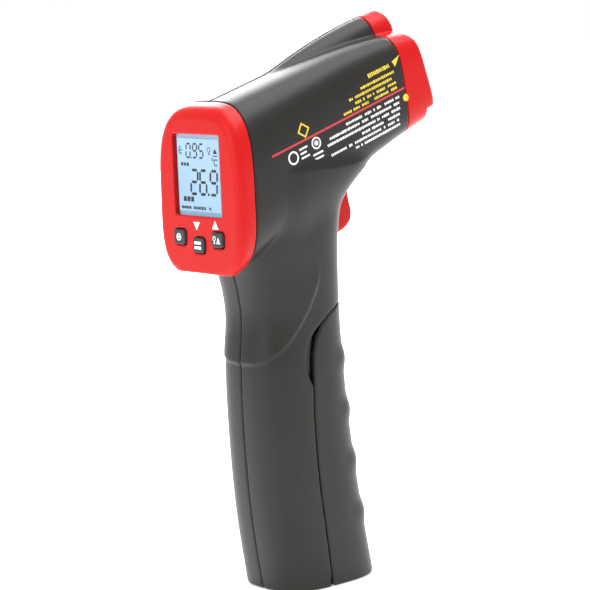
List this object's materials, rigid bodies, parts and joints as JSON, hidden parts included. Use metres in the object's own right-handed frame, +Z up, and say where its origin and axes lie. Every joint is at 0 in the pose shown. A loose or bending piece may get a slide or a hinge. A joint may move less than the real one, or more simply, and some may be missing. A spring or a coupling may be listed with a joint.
{
  "type": "infrared thermometer",
  "caption": "Pistol-grip infrared thermometer: pitched head with a display and keys behind, sensor opening and laser hump ahead, trigger, and hinged battery cover in the grip.",
  "frame": {"origin": "centre of the flat end of the grip, on which the object stands", "axes": "+Z up the grip, +X the way the object points, +Y to port"},
  "size_m": [0.0854, 0.0436, 0.1774],
  "materials": {
    "dark_case": "fine satin moulded plastic, warm dark grey",
    "red_trim": "satin red moulded plastic",
    "clear_window": "clear hard-coated window",
    "lcd": "pale blue backlit display",
    "white_plastic": "white moulded plastic",
    "black_rubber": "black rubber",
    "button_rubber": "dark grey rubber key",
    "circuit_board": "green solder mask",
    "black_plastic": "black moulded plastic",
    "infrared_lens": "dark infrared lens",
    "tin_can": "tinned metal can",
    "brass": "turned brass",
    "steel": "zinc plated steel",
    "battery_jacket": "plain printed battery jacket",
    "red_lead": "red lead insulation"
  },
  "bodies": {
    "housing": {"left_housing": "dark_case", "right_housing": "dark_case", "rear_bezel": "red_trim", "front_bezel": "red_trim", "display_window": "clear_window", "lcd_glass": "lcd", "lcd_frame": "white_plastic", "lcd_backlight": "white_plastic", "elastomer_strip": "black_rubber", "display_board": "circuit_board", "button_switches": "black_plastic", "sensor_barrel": "black_plastic", "infrared_lens": "infrared_lens", "lens_ring": "black_plastic", "thermopile_sensor": "tin_can", "sensor_board": "circuit_board", "laser_module": "brass", "laser_clamp": "black_plastic", "laser_window": "clear_window", "trigger_pin": "steel", "trigger_spring": "steel", "trigger_switch": "black_plastic", "battery_cover_pin": "steel", "battery": "battery_jacket", "battery_snap": "black_plastic", "battery_tray": "black_plastic", "battery_lead_red": "red_lead", "battery_lead_black": "black_rubber", "main_board": "circuit_board", "processor_chip": "black_plastic", "board_components": "tin_can", "buzzer": "black_plastic", "housing_screws": "steel"},
    "trigger": {"trigger": "red_trim"},
    "battery_cover": {"battery_cover": "dark_case"},
    "button_left": {"button_left": "button_rubber"},
    "button_middle": {"button_middle": "button_rubber"},
    "button_right": {"button_right": "button_rubber"}
  },
  "joints": [
    {"name": "trigger_pull", "type": "hinge", "parent": "housing", "child": "trigger", "pos_m": [0.0104, 0, 0.1224], "axis": [0, 1, 0], "range_deg": [0, 6], "stiffness_Nm_per_rad": 1.2, "springref_deg": -5.73, "deforming": ["trigger_spring"]},
    {"name": "battery_cover_swing", "type": "hinge", "parent": "housing", "child": "battery_cover", "pos_m": [-0.0016, 0, 0.0022], "axis": [0, 1, 0], "range_deg": [0, 70]},
    {"name": "button_left_press", "type": "slide", "parent": "housing", "child": "button_left", "axis": [0.9991, 0, -0.0419], "range_m": [0, 0.0006], "stiffness_N_per_m": 800, "springref_m": -0.0006},
    {"name": "button_middle_press", "type": "slide", "parent": "housing", "child": "button_middle", "axis": [0.9991, 0, -0.0419], "range_m": [0, 0.0006], "stiffness_N_per_m": 800, "springref_m": -0.0006},
    {"name": "button_right_press", "type": "slide", "parent": "housing", "child": "button_right", "axis": [0.9991, 0, -0.0419], "range_m": [0, 0.0006], "stiffness_N_per_m": 800, "springref_m": -0.0006}
  ]
}
